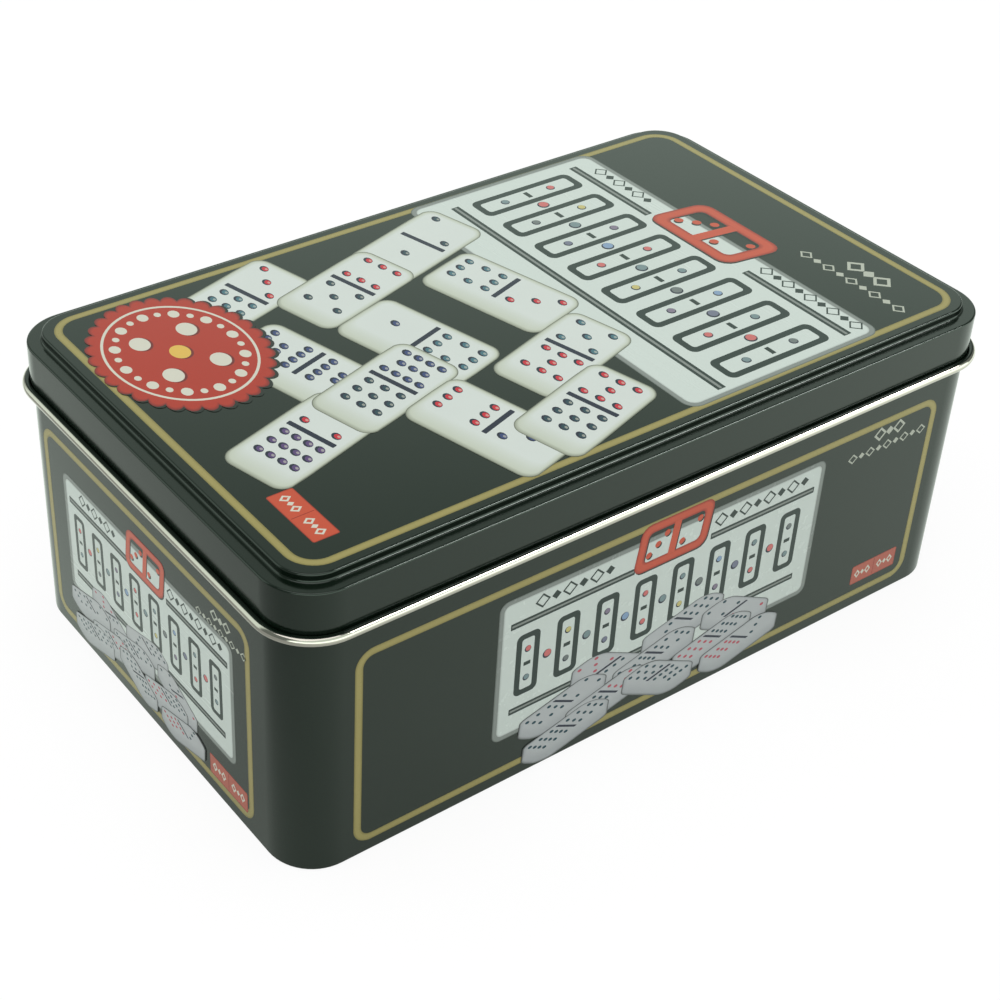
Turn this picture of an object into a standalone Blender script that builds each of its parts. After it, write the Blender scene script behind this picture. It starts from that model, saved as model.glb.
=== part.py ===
"""Rectangular slip-lid tin holding a set of 91 double-twelve dominoes.

Everything is in metres with +Z up. The origin is the middle of the tin's footprint, on the surface
that it stands on. X runs along the tin, Y across it. The tiles set the size of the insert tray, the
tray sets the size of the tin, and the lid follows the tin.
"""
import math

import bpy
import numpy as np

for old_object in list(bpy.data.objects):
    bpy.data.objects.remove(old_object, do_unlink=True)

# Tinplate and clearances
sheet = 0.0003
seat_gap = 0.0003
lid_slip = 0.00035

# Domino tile
tile_length = 0.0476
tile_width = 0.0238
tile_thickness = 0.0093
tile_corner = 0.001
tile_edge = 0.0005
pip_radius = 0.00105
pip_depth = 0.0005
divider_width = 0.0009
divider_depth = 0.0004
pip_line_share = 0.27
four_pip_share = 0.2
divider_length_share = 0.8

# Piles of tiles
pile_rows = 4
pile_columns = 3
fused_layers = 4
loose_layer_names = ("third", "second", "top")
highest_value = 12

# Insert tray
tray_sheet = 0.0005
tray_height = 0.030
tray_lip = 0.006
tray_lip_bend = 0.0008
tray_web = 0.0022
tray_margin = 0.0031
tray_gap = 0.0004
tile_clearance = 0.0003
pocket_draft = 0.0003

# Folded rules leaflet
booklet_length = 0.100
booklet_height = 0.060
booklet_leaf = 0.0008
booklet_opening = 0.0004

# Tin body
corner_radius = 0.011
rim_curl_radius = 0.0009
hem_width = 0.003
hem_height = 0.0030
hem_bend = 0.0006
seam_width = 0.004
seam_fold = 0.0005
seam_groove_width = 0.0004
seam_groove_depth = 0.00012

# Tin bottom
bottom_flange = 0.0018
bottom_bend = 0.0006
bead_inset = 0.004
bead_radius = 0.0016
bead_turn = 40
least_corner = 0.001

# Lid
head_room = 0.005
panel_rise = 0.002
panel_inset = 0.00295
panel_bend = 0.0005
skirt_depth = 0.0119
lid_curl_radius = 0.00105
curl_turn = 300

# Facets
corner_steps = 6
tile_corner_steps = 1
bend_facet = 30
fold_angle = 35
pip_sides = 7
cut_overrun = 0.0004

# Sizes that follow from the ones above
pocket_length = tile_length + 2 * tile_clearance
pocket_width = tile_width + 2 * tile_clearance
booklet_thickness = 2 * booklet_leaf + booklet_opening
slot_width = booklet_thickness + 2 * tile_clearance
slot_length = booklet_length + 2 * tile_clearance
rows_span = pile_rows * pocket_width + (pile_rows - 1) * tray_web
columns_span = pile_columns * (pocket_length + tray_web)
cross_span = 2 * pocket_length + tray_web
tray_length = 2 * tray_margin + slot_width + tray_web + columns_span + pocket_width
tray_width = 2 * tray_margin + max(rows_span, cross_span, slot_length)

tray_offset = -2 * rim_curl_radius - tray_gap
body_half_x = tray_length / 2 - tray_offset
body_half_y = tray_width / 2 - tray_offset

bottom_level = hem_height + seat_gap + sheet
tray_level = bottom_level + seat_gap
floor_level = tray_level + tray_sheet + seat_gap
fused_height = fused_layers * tile_thickness
pile_height = fused_height + len(loose_layer_names) * (tile_thickness + seat_gap)
lid_top = floor_level + pile_height + head_room + sheet
ledge_level = lid_top - panel_rise
body_height = ledge_level - sheet - seat_gap


def material(name, colour, roughness, metallic):
    """Return a Principled material with one even finish."""
    made = bpy.data.materials.new(name)
    made.use_nodes = True
    shader = made.node_tree.nodes["Principled BSDF"]
    shader.inputs["Base Color"].default_value = (*colour, 1)
    shader.inputs["Roughness"].default_value = roughness
    shader.inputs["Metallic"].default_value = metallic
    return made


black_lacquer = material("black_lacquer", (0.030, 0.034, 0.030), 0.3, 0)
bare_tinplate = material("bare_tinplate", (0.72, 0.73, 0.70), 0.25, 1)
ivory_plastic = material("ivory_plastic", (0.86, 0.85, 0.78), 0.35, 0)
tray_plastic = material("tray_plastic", (0.05, 0.05, 0.055), 0.45, 0)
leaflet_paper = material("leaflet_paper", (0.88, 0.87, 0.83), 0.7, 0)


def rounded_outline(half_x, half_y, radius, steps):
    """Return the points of a rounded rectangle, anticlockwise, with each corner arc in equal steps."""
    angles = np.linspace(0, math.pi / 2, steps + 1)
    corners = []
    for quarter, (side_x, side_y) in enumerate(((1, 1), (-1, 1), (-1, -1), (1, -1))):
        turned = angles + quarter * math.pi / 2
        centre = np.array([side_x * (half_x - radius), side_y * (half_y - radius)])
        corners.append(centre + radius * np.stack([np.cos(turned), np.sin(turned)], axis=1))
    return np.concatenate(corners)


def at_height(outline, height):
    """Lift a flat outline to one height."""
    return np.column_stack([outline, np.full(len(outline), height)])


def trace(start, heading, moves):
    """Follow a sheet's middle line from a start point: ("run", length) goes straight on, and
    ("bend", radius, degrees) turns along an arc, to the left where the degrees are positive."""
    points = [np.array(start, dtype=float)]
    direction = math.radians(heading)
    for move in moves:
        if move[0] == "run":
            step = np.array([math.cos(direction), math.sin(direction)])
            points.append(points[-1] + move[1] * step)
            continue
        radius, turn = move[1], math.radians(move[2])
        side = math.copysign(1, turn)
        to_centre = side * radius * np.array([-math.sin(direction), math.cos(direction)])
        centre = points[-1] + to_centre
        facets = max(2, round(abs(move[2]) / bend_facet))
        for angle in np.linspace(0, turn, facets + 1)[1:]:
            cosine, sine = math.cos(angle), math.sin(angle)
            turned_x = sine * to_centre[1] - cosine * to_centre[0]
            turned_y = -sine * to_centre[0] - cosine * to_centre[1]
            points.append(centre + np.array([turned_x, turned_y]))
        direction += turn
    return np.array(points)


def offset(path, distance):
    """Shift an open path to its left by a distance, mitred at each point."""
    along = np.diff(path, axis=0)
    along /= np.linalg.norm(along, axis=1, keepdims=True)
    normals = np.column_stack([-along[:, 1], along[:, 0]])
    before = np.vstack([normals[:1], normals])
    after = np.vstack([normals, normals[-1:]])
    mitre = before + after
    mitre /= np.sum(mitre * before, axis=1, keepdims=True)
    return path + distance * mitre


def sheet_section(path, thickness):
    """Return the outline of a sheet of even thickness whose middle line is the path."""
    return np.vstack([offset(path, thickness / 2), offset(path, -thickness / 2)[::-1]])


def wall_ring(out, height):
    """Return a ring that lies outside the tin's wall by a distance, or inside it where negative."""
    radius = max(corner_radius + out, least_corner)
    return at_height(rounded_outline(body_half_x + out, body_half_y + out, radius, corner_steps), height)


def solid(name, rings, closed_round=False, finish=None, flat=False):
    """Skin a row of rings, and cap both ends unless the row closes on itself. A ring of one point
    is a tip and needs no cap."""
    counts = [len(ring) for ring in rings]
    starts = [sum(counts[:row]) for row in range(len(rings) + 1)]
    faces = []
    for row in range(len(rings) if closed_round else len(rings) - 1):
        above = (row + 1) % len(rings)
        for column in range(max(counts[row], counts[above])):
            following = column + 1
            corners = (
                starts[row] + column % counts[row],
                starts[row] + following % counts[row],
                starts[above] + following % counts[above],
                starts[above] + column % counts[above],
            )
            faces.append(tuple(dict.fromkeys(corners)))
    if not closed_round:
        first = tuple(range(counts[0]))
        last = tuple(range(starts[-2], starts[-1]))
        faces += [cap for cap in (first[::-1], last) if len(cap) > 1]
    mesh = bpy.data.meshes.new(name)
    mesh.from_pydata(np.concatenate(rings).tolist(), [], faces)
    if signed_volume(mesh) < 0:
        mesh.flip_normals()
    mesh.update()
    return place(name, mesh, finish, flat=flat)


def signed_volume(mesh):
    """Return a closed mesh's volume, negative where its faces point inwards."""
    total = 0
    for face in mesh.polygons:
        corners = [mesh.vertices[index].co for index in face.vertices]
        for second, third in zip(corners[1:], corners[2:]):
            total += corners[0].dot(second.cross(third))
    return total


def place(name, mesh, finish=None, location=(0, 0, 0), turn=0, flat=False):
    """Put a mesh in the scene as a named object: flat where it has only plane faces, or else smooth
    except along its folds."""
    made = bpy.data.objects.new(name, mesh)
    bpy.context.collection.objects.link(made)
    made.location = location
    made.rotation_euler = (0, 0, turn)
    if flat:
        mesh.shade_flat()
    else:
        mesh.shade_smooth()
        mesh.set_sharp_from_angle(angle=math.radians(fold_angle))
    if finish and not mesh.materials:
        mesh.materials.append(finish)
    return made


def combine(target, tool, operation):
    """Let one object add to another or cut it, and keep the tool out of sight."""
    tool.hide_render = True
    tool.display_type = "WIRE"
    change = target.modifiers.new(tool.name, "BOOLEAN")
    change.operation = operation
    change.solver = "EXACT"
    change.object = tool


def box_rings(low, high):
    """Return the two rings of an upright box between two corners."""
    middle = [(low[axis] + high[axis]) / 2 for axis in range(2)]
    half = [(high[axis] - low[axis]) / 2 for axis in range(2)]
    outline = rounded_outline(half[0], half[1], 0, 0) + middle
    return [at_height(outline, low[2]), at_height(outline, high[2])]


def joined(name, groups):
    """Make one mesh object of separate capped bodies, each given as its rings."""
    pieces = [solid(name + "_piece", rings, flat=True) for rings in groups]
    points, faces = [], []
    for piece in pieces:
        first = len(points)
        points += [tuple(vertex.co) for vertex in piece.data.vertices]
        faces += [tuple(first + index for index in face.vertices) for face in piece.data.polygons]
        bpy.data.objects.remove(piece, do_unlink=True)
    mesh = bpy.data.meshes.new(name)
    mesh.from_pydata(points, [], faces)
    return place(name, mesh, flat=True)


# Tin body: one sheet, hemmed inwards at the foot, curled inwards at the rim, locked at the back
def make_tin_body():
    middle_bend = hem_bend - sheet / 2
    middle_curl = rim_curl_radius - sheet / 2
    path = trace((-hem_width + sheet / 2, hem_height), -90, [
        ("run", hem_height - sheet / 2 - middle_bend),
        ("bend", middle_bend, 90),
        ("run", hem_width - sheet - 2 * middle_bend),
        ("bend", middle_bend, 90),
        ("run", body_height - rim_curl_radius - middle_bend - sheet / 2),
        ("bend", middle_curl, curl_turn),
    ])
    rings = [wall_ring(out, height) for out, height in sheet_section(path, sheet)]
    body = solid("tin_body", rings, closed_round=True, finish=black_lacquer)

    fold_foot = bottom_level + seat_gap
    fold_head = body_height - 2 * rim_curl_radius - seat_gap
    fold = solid("seam_fold", box_rings(
        (-seam_width / 2, body_half_y - sheet - seam_fold, fold_foot),
        (seam_width / 2, body_half_y - sheet / 2, fold_head)))
    combine(body, fold, "UNION")
    groove = solid("seam_groove", box_rings(
        (-seam_width / 2, body_half_y - seam_groove_depth, hem_bend + sheet),
        (-seam_width / 2 + seam_groove_width, body_half_y + cut_overrun, fold_head)))
    combine(body, groove, "DIFFERENCE")
    return body


# Tin bottom: a panel seated on the foot hem, its flange held between the wall and the hem
def make_tin_bottom():
    middle_bend = bottom_bend - sheet / 2
    panel_middle = bottom_level - sheet / 2
    path = trace((-sheet - seat_gap - sheet / 2, panel_middle - bottom_flange), 90, [
        ("run", bottom_flange - middle_bend),
        ("bend", middle_bend, 90),
        ("run", bead_inset),
        ("bend", bead_radius, bead_turn),
        ("bend", bead_radius, -2 * bead_turn),
        ("bend", bead_radius, bead_turn),
        ("run", bottom_bend),
    ])
    under = offset(path, sheet / 2)[::-1]
    over = offset(path, -sheet / 2)
    rings = [wall_ring(out, height) for out, height in np.vstack([under, over])]
    return solid("tin_bottom", rings, finish=bare_tinplate)


# Lid: drawn from one sheet, with a raised panel, a ledge, a skirt and an open curl round its edge
def make_lid():
    middle_bend = panel_bend - sheet / 2
    middle_curl = lid_curl_radius - sheet / 2
    riser = -panel_inset - sheet / 2
    skirt = lid_slip + sheet / 2
    path = trace((riser - 2 * panel_bend, lid_top - sheet / 2), 0, [
        ("run", 2 * panel_bend - middle_bend),
        ("bend", middle_bend, -90),
        ("run", panel_rise - 2 * middle_bend),
        ("bend", middle_bend, 90),
        ("run", skirt - riser - 2 * middle_bend),
        ("bend", middle_bend, -90),
        ("run", skirt_depth - lid_curl_radius - middle_bend - sheet / 2),
        ("bend", middle_curl, curl_turn),
    ])
    over = offset(path, sheet / 2)
    under = offset(path, -sheet / 2)[::-1]
    rings = [wall_ring(out, height) for out, height in np.vstack([over, under])]
    lid = solid("lid", rings, finish=black_lacquer)
    axis = bpy.data.objects.new("lid_lift_axis", None)
    bpy.context.collection.objects.link(axis)
    lid.parent = axis
    return lid


# Places of the pockets, from the leaflet's slot at the left end to the cross piles at the right end
def pocket_places():
    """Return the middles of the long pockets, of the cross pockets, and of the leaflet's slot."""
    left = -tray_length / 2 + tray_margin
    slot = (left + slot_width / 2, 0)
    first = left + slot_width + tray_web + pocket_length / 2
    long_pockets = []
    for row in range(pile_rows):
        for column in range(pile_columns):
            long_pockets.append((
                first + column * (pocket_length + tray_web),
                (row - (pile_rows - 1) / 2) * (pocket_width + tray_web)))
    cross_x = tray_length / 2 - tray_margin - pocket_width / 2
    cross_y = (pocket_length + tray_web) / 2
    return long_pockets, [(cross_x, -cross_y), (cross_x, cross_y)], slot


long_places, cross_places, slot_place = pocket_places()


# Tray: one formed sheet, a deck with a turned-down lip and a cup for every pile
def make_tray():
    pockets = [(place_xy, pocket_length, pocket_width) for place_xy in long_places]
    pockets += [(place_xy, pocket_width, pocket_length) for place_xy in cross_places]
    pockets.append((slot_place, slot_width, slot_length))
    deck = tray_level + tray_height
    cups, hollows = [], []
    for place_xy, size_x, size_y in pockets:
        for grow, groups, foot, head in (
                (tray_sheet, cups, tray_level, deck - tray_sheet / 2),
                (0, hollows, tray_level + tray_sheet, deck + cut_overrun)):
            corner = min(tile_corner, size_x / 4, size_y / 4) + grow
            low = rounded_outline(size_x / 2 + grow, size_y / 2 + grow, corner, tile_corner_steps)
            spread = grow + pocket_draft
            high = rounded_outline(size_x / 2 + spread, size_y / 2 + spread, corner, tile_corner_steps)
            groups.append([at_height(low + place_xy, foot), at_height(high + place_xy, head)])
    inside = tray_offset - tray_sheet
    rings = [
        wall_ring(inside, deck - tray_sheet),
        wall_ring(inside, deck - tray_lip),
        wall_ring(tray_offset, deck - tray_lip),
        wall_ring(tray_offset, deck - tray_lip_bend),
        wall_ring(tray_offset - tray_lip_bend, deck),
    ]
    tray = solid("tray", rings, finish=tray_plastic, flat=True)
    combine(tray, joined("tray_cups", cups), "UNION")
    combine(tray, joined("tray_hollows", hollows), "DIFFERENCE")
    return tray


# Rules leaflet: a sheet folded once, standing in its slot on the fold
def make_booklet():
    fold = (booklet_opening + booklet_leaf) / 2
    leaf = booklet_height - fold - booklet_leaf / 2
    top = floor_level + booklet_height
    path = trace((-fold, top), -90, [("run", leaf), ("bend", fold, 180), ("run", leaf)])
    section = sheet_section(path, booklet_leaf)
    rings = []
    for side in (-1, 1):
        across = np.full(len(section), side * booklet_length / 2)
        rings.append(np.column_stack([section[:, 0] + slot_place[0], across, section[:, 1]]))
    return solid("rules_leaflet", rings, finish=leaflet_paper)


# Domino tiles
def tile_rings(layers):
    """Return the rings of one or more tiles lying on each other, joined at their bevelled edges."""
    half_x, half_y = tile_length / 2, tile_width / 2
    whole = rounded_outline(half_x, half_y, tile_corner, tile_corner_steps)
    face = rounded_outline(half_x - tile_edge, half_y - tile_edge, tile_corner, tile_corner_steps)
    rings = [at_height(face, 0)]
    for layer in range(layers):
        foot = layer * tile_thickness
        head = foot + tile_thickness
        rings.append(at_height(whole, foot + tile_edge))
        rings.append(at_height(whole, head - tile_edge))
        rings.append(at_height(face, head))
    return rings


def pip_spots(value):
    """Return the pips of one half: the outer lines share what the middle line doesn't hold."""
    outer = (0, 0, 1, 1, 2, 2, 3, 3, 3, 3, 4, 4, 4)[value]
    middle = value - 2 * outer
    pitch_share = four_pip_share if outer == 4 else pip_line_share
    spots = []
    for line, count in ((-1, outer), (0, middle), (1, outer)):
        if count == 1 and line:
            steps = [line]
        elif count == 2 and outer < 4:
            steps = [-1, 1]
        else:
            steps = [step - (count - 1) / 2 for step in range(count)]
        for step in steps:
            spots.append((line * pip_line_share * tile_width, step * pitch_share * tile_width))
    return spots


def pip_cone(spot, surface):
    """Return the rings of a conical recess: its tip, and a wide ring above the face."""
    angles = np.arange(pip_sides) * 2 * math.pi / pip_sides
    circle = np.stack([np.cos(angles), np.sin(angles)], axis=1)
    wide = pip_radius * (pip_depth + cut_overrun) / pip_depth
    return [
        at_height(np.array([spot]), surface - pip_depth),
        at_height(circle * wide + spot, surface + cut_overrun),
    ]


def face_cuts(values):
    """Return the recesses in a tile's face: the dividing groove and the pips of both halves."""
    run = tile_width * divider_length_share
    slope = divider_width / 2 / divider_depth
    foot = rounded_outline(divider_width / 8, run / 2, 0, 0)
    spread = divider_width / 2 + slope * cut_overrun
    head = rounded_outline(spread, run / 2 + spread, 0, 0)
    low, high = tile_thickness - divider_depth, tile_thickness + cut_overrun
    cuts = [[at_height(foot, low), at_height(head, high)]]
    for side, value in zip((-1, 1), values):
        for spot in pip_spots(value):
            middle = np.array([side * tile_length / 4 + spot[0], spot[1]])
            cuts.append(pip_cone(middle, tile_thickness))
    return cuts


def make_dominoes():
    fused = solid("fused_tiles", tile_rings(fused_layers), finish=ivory_plastic, flat=True)
    plain = solid("plain_tile", tile_rings(1), finish=ivory_plastic, flat=True)
    fused_mesh, plain_mesh = fused.data, plain.data
    bpy.data.objects.remove(fused, do_unlink=True)
    bpy.data.objects.remove(plain, do_unlink=True)
    piles = [(place_xy, 0) for place_xy in long_places] + [(cross_places[0], math.pi / 2)]
    for number, (place_xy, turn) in enumerate(piles):
        label = "pile_%02d" % (number + 1)
        name = label + "_lower_dominoes"
        place(name, fused_mesh, location=(*place_xy, floor_level), turn=turn, flat=True)
        for layer, layer_name in enumerate(loose_layer_names):
            height = floor_level + fused_height + layer * tile_thickness + (layer + 1) * seat_gap
            shown = layer_name == loose_layer_names[-1]
            mesh = plain_mesh.copy() if shown else plain_mesh
            name = "%s_%s_domino" % (label, layer_name)
            tile = place(name, mesh, location=(*place_xy, height), turn=turn, flat=True)
            if shown:
                values = (number, (5 * number + 3) % (highest_value + 1))
                cuts = joined(label + "_face_cuts", face_cuts(values))
                cuts.parent = tile
                combine(tile, cuts, "DIFFERENCE")


make_tin_body()
make_tin_bottom()
make_tray()
make_booklet()
make_dominoes()
make_lid()
bpy.context.view_layer.update()
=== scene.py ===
import math

import bpy
import numpy as np
from mathutils import Matrix, Vector


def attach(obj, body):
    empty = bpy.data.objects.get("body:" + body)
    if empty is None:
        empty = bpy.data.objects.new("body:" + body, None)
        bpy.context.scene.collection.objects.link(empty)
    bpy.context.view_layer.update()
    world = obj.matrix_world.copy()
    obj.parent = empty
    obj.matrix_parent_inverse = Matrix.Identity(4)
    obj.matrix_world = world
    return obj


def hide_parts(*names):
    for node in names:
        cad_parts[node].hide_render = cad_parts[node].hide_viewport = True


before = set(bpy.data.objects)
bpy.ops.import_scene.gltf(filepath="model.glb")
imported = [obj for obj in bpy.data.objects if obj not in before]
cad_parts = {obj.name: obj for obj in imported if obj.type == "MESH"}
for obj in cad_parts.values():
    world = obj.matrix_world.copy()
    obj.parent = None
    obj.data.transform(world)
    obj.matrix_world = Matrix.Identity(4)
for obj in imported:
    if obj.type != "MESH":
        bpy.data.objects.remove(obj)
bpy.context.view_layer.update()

# Sizes of the tin, in millimetres. Meshes are worked out in millimetres and stored in metres.
MILLIMETRE = 0.001
HALF_X, HALF_Y = 95.5, 57.4
CORNER = 11.0
SHEET = 0.3
SEAT = 0.3
BODY_TOP = 73.4
RIM_CURL = 0.9
HEM_WIDTH, HEM_HEIGHT, HEM_BEND = 3.0, 3.0, 0.6
SEAM_HALF, SEAM_RAMP, SEAM_FOLD = 2.0, 0.1, 0.5
GROOVE_WIDTH, GROOVE_DEPTH = 0.4, 0.12
BOTTOM_LEVEL, BOTTOM_FLANGE, BOTTOM_BEND = 3.6, 1.8, 0.6
BEAD_IN, BEAD_BEND, BEAD_TURN, BEAD_OUT = 4.0, 1.6, 40, 0.6
LEDGE = 73.95
LID_TOP = 76.0
PRINT_ROOM = 0.12
SKIRT_DEPTH, SKIRT_OUT = 11.85, 0.35
PANEL_IN = 2.76
EDGE_BEND, FOOT_BEND, SHOULDER_BEND = 0.45, 0.55, 0.45
LID_CURL = 1.05
CURL_TURN = 300
# Facets at the lid curl's free edge that take the black lacquer as painted shade
SHADE_LACQUERED_FACETS = 6
TILE_LENGTH, TILE_WIDTH = 47.6, 23.8
PIP_PITCH = 0.27 * TILE_WIDTH
HIGHEST_VALUE = 12


# Finishes
class Socket:
    """One output in a node tree. Its operators add Math nodes."""

    def __init__(self, tree, socket):
        self.tree, self.socket = tree, socket

    def node(self, kind, settings=(), values=(), output=0):
        """Add any other node: its settings are set first, then its inputs' values or links."""
        made = self.tree.nodes.new("ShaderNode" + kind)
        for key, value in dict(settings).items():
            setattr(made, key, value)
        for key, value in dict(values).items():
            if isinstance(value, Socket):
                self.tree.links.new(value.socket, made.inputs[key])
            else:
                made.inputs[key].default_value = value
        return Socket(self.tree, made.outputs[output])

    def other(self, key):
        """Another output of the same node."""
        return Socket(self.tree, self.socket.node.outputs[key])

    def maths(self, operation, second, first=None):
        first = self if first is None else first
        return self.node("Math", {"operation": operation}, {0: first, 1: second})

    def __add__(self, other):
        return self.maths("ADD", other)

    __radd__ = __add__

    def __mul__(self, other):
        return self.maths("MULTIPLY", other)

    __rmul__ = __mul__

    def __sub__(self, other):
        return self.maths("SUBTRACT", other)

    def __rsub__(self, other):
        return self.maths("SUBTRACT", self, other)

    def between(self, low, high):
        """0 below low, 1 above high, and a smooth rise between."""
        return self.node("MapRange", {"interpolation_type": "SMOOTHSTEP"},
                         {"Value": self, "From Min": low, "From Max": high})

    def mix(self, first, second):
        """The first colour where this is 0 and the second where it is 1."""
        return self.node("Mix", {"data_type": "RGBA"}, {0: self, 6: first, 7: second}, output=2)


class Finish:
    """A material with one Principled shader. What is the same all over is set on its sockets."""

    def __init__(self, name, **constants):
        self.material = bpy.data.materials.new(name)
        self.material.use_nodes = True
        tree = self.material.node_tree
        self.shader = tree.nodes["Principled BSDF"]
        for key, value in constants.items():
            self.shader.inputs[key.replace("_", " ")].default_value = value
        self.any = Socket(tree, None)
        self.place = self.any.node("TexCoord", output=3)

    def stretched(self, scale, turn=(0, 0, 0)):
        """Object coordinates scaled along each axis after a turn."""
        return self.any.node("Mapping", {}, {"Vector": self.place, "Rotation": turn,
                                             "Scale": scale})

    def noise(self, scale, detail=2.0, roughness=0.5, where=None):
        """Soft cloud pattern from 0 to 1; scale is in cells per metre."""
        return self.any.node("TexNoise", {}, {"Vector": where or self.place, "Scale": scale,
                                              "Detail": detail, "Roughness": roughness})

    def feed(self, key, value):
        self.any.tree.links.new(value.socket, self.shader.inputs[key])

    def tinted(self, pattern, low, high):
        """Base colour: each shape's own ink, times low where the pattern is 0, high where 1."""
        tone = self.any.node("Attribute", {"attribute_name": "ink"})
        self.feed("Base Color", self.any.node(
            "Mix", {"data_type": "RGBA", "blend_type": "MULTIPLY"},
            {0: 1.0, 6: tone, 7: pattern.mix(low, high)}, output=2))

    def relief(self, height, depth, strength):
        """Bump of the given height map; depth is in metres."""
        self.feed("Normal", self.any.node("Bump", {}, {"Height": height, "Distance": depth,
                                                       "Strength": strength}))


def grey(level):
    """Linear grey, the same in all three channels."""
    return (level, level, level, 1)


def linear(red, green, blue):
    """Linear colour of an 8-bit colour."""
    return tuple((c / 255 / 12.92) if c <= 10 else ((c / 255 + 0.055) / 1.055) ** 2.4
                 for c in (red, green, blue))


def ink(red, green, blue):
    """Colour of an ink that shows as this 8-bit colour under varnish, which mirrors about 5%."""
    return tuple(max(0.001, (c - 0.05) / 0.92) for c in linear(red, green, blue)) + (1,)


def lacquer_finish():
    """Black stoving lacquer: gloss with a faint orange peel, cloudy sheen and a few fine rubs."""
    made = Finish("black_lacquer_gloss", IOR=1.5, Specular_Tint=(0.90, 1.0, 0.93, 1))
    cloud = made.noise(22, 3)
    rubs = made.noise(900, 1, where=made.stretched((0.35, 6, 1), (0.3, 0.2, 0.5)))
    made.feed("Base Color", cloud.mix((0.0018, 0.0058, 0.0028, 1), (0.0045, 0.0095, 0.0058, 1)))
    made.feed("Roughness", 0.12 + cloud * 0.04 + rubs.between(0.62, 0.8) * 0.02)
    made.relief(made.noise(2600, 1), 2e-6, 0.2)
    return made.material


def tinplate_finish():
    """Bare tinplate: bright rolled metal, with a fine lengthwise grain and dull clouds."""
    made = Finish("tinplate_bright", Metallic=1.0)
    cloud = made.noise(60, 3)
    grain = made.noise(700, 2, where=made.stretched((0.5, 0.5, 9)))
    made.feed("Base Color", cloud.mix((0.50, 0.46, 0.41, 1), (0.57, 0.53, 0.48, 1)))
    made.feed("Roughness", 0.06 + cloud * 0.06 + grain * 0.03)
    made.relief(grain, 3e-6, 0.5)
    return made.material


def dull_tinplate_finish():
    """Tinplate of the bottom: the same metal, duller, with spangle."""
    made = Finish("tinplate_dull", Metallic=1.0)
    spangle = made.any.node("TexVoronoi", {}, {"Vector": made.place, "Scale": 260})
    cloud = made.noise(40, 3)
    made.feed("Base Color", cloud.mix((0.60, 0.61, 0.58, 1), (0.72, 0.73, 0.70, 1)))
    made.feed("Roughness", 0.24 + cloud * 0.12 + spangle * 0.12)
    made.relief(made.noise(500, 2), 4e-6, 0.5)
    return made.material


def gold_finish():
    """Gold ink: a dull ochre with a metallic glint, its strength uneven from the roller."""
    made = Finish("gold_ink", IOR=1.5, Metallic=0.15)
    cloud, fine = made.noise(90, 3), made.noise(3800, 1)
    made.tinted(cloud * 0.6 + fine * 0.4, (0.90, 0.90, 0.88, 1), grey(1.08))
    made.feed("Roughness", 0.24 + fine * 0.12)
    return made.material


def printed_finish():
    """Process inks under varnish: each shape's own colour, a fine dot screen and faint clouds."""
    made = Finish("printed_ink", IOR=1.5)
    dots, cloud = made.noise(5200, 1), made.noise(70, 2)
    made.tinted(dots * 0.5 + cloud * 0.5, grey(0.94), grey(1.05))
    made.feed("Roughness", 0.17 + dots * 0.08 + cloud * 0.05)
    return made.material


def silver_finish():
    """Silver-white ink of the plates, brushed in slanting streaks."""
    made = Finish("silver_ink", IOR=1.5)
    slanting = made.stretched((1.0, 0.10, 1.0), (0.5, 0.45, 0.62))
    streak, cloud = made.noise(420, 3, 0.6, where=slanting), made.noise(45, 2)
    made.tinted(streak * 0.6 + cloud * 0.4, grey(0.97), grey(1.03))
    made.feed("Roughness", 0.2 + streak * 0.12)
    return made.material


def ivory_finish():
    """Moulded tile plastic: warm white, slightly clouded, with a soft moulding texture."""
    made = Finish("ivory_tile_plastic", IOR=1.49)
    cloud = made.noise(130, 3)
    made.feed("Base Color", cloud.mix((0.72, 0.71, 0.63, 1), (0.82, 0.81, 0.74, 1)))
    made.feed("Roughness", 0.27 + cloud * 0.14)
    made.relief(made.noise(1500, 2), 6e-6, 0.4)
    return made.material


def paint_finish():
    """Pip paint: each pip's own colour, a gloss that has settled in the recess."""
    made = Finish("pip_paint", IOR=1.5)
    cloud = made.noise(1500, 2)
    made.tinted(cloud, grey(0.85), grey(1.1))
    made.feed("Roughness", 0.2 + cloud * 0.15)
    return made.material


def tray_finish():
    """Vacuum-formed sheet: black plastic with a fine satin skin, glossier in places."""
    made = Finish("formed_tray_plastic", IOR=1.5)
    cloud = made.noise(35, 3)
    made.feed("Base Color", cloud.mix((0.012, 0.012, 0.013, 1), (0.028, 0.028, 0.030, 1)))
    made.feed("Roughness", 0.34 + cloud * 0.14)
    made.relief(made.noise(2400, 2), 1e-5, 0.5)
    return made.material


def paper_finish():
    """Uncoated leaflet paper: off-white, with fibres in colour and relief."""
    made = Finish("leaflet_stock", Roughness=0.8)
    fibre = made.noise(2500, 4, where=made.stretched((1, 0.2, 1)))
    made.feed("Base Color", fibre.mix((0.74, 0.73, 0.69, 1), (0.84, 0.83, 0.80, 1)))
    made.relief(fibre, 2e-5, 0.6)
    return made.material


LACQUER, TINPLATE, DULL_TINPLATE = lacquer_finish(), tinplate_finish(), dull_tinplate_finish()
GOLD, PRINTED, SILVER = gold_finish(), printed_finish(), silver_finish()
IVORY, PAINT, TRAY_PLASTIC, PAPER = ivory_finish(), paint_finish(), tray_finish(), paper_finish()


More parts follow.
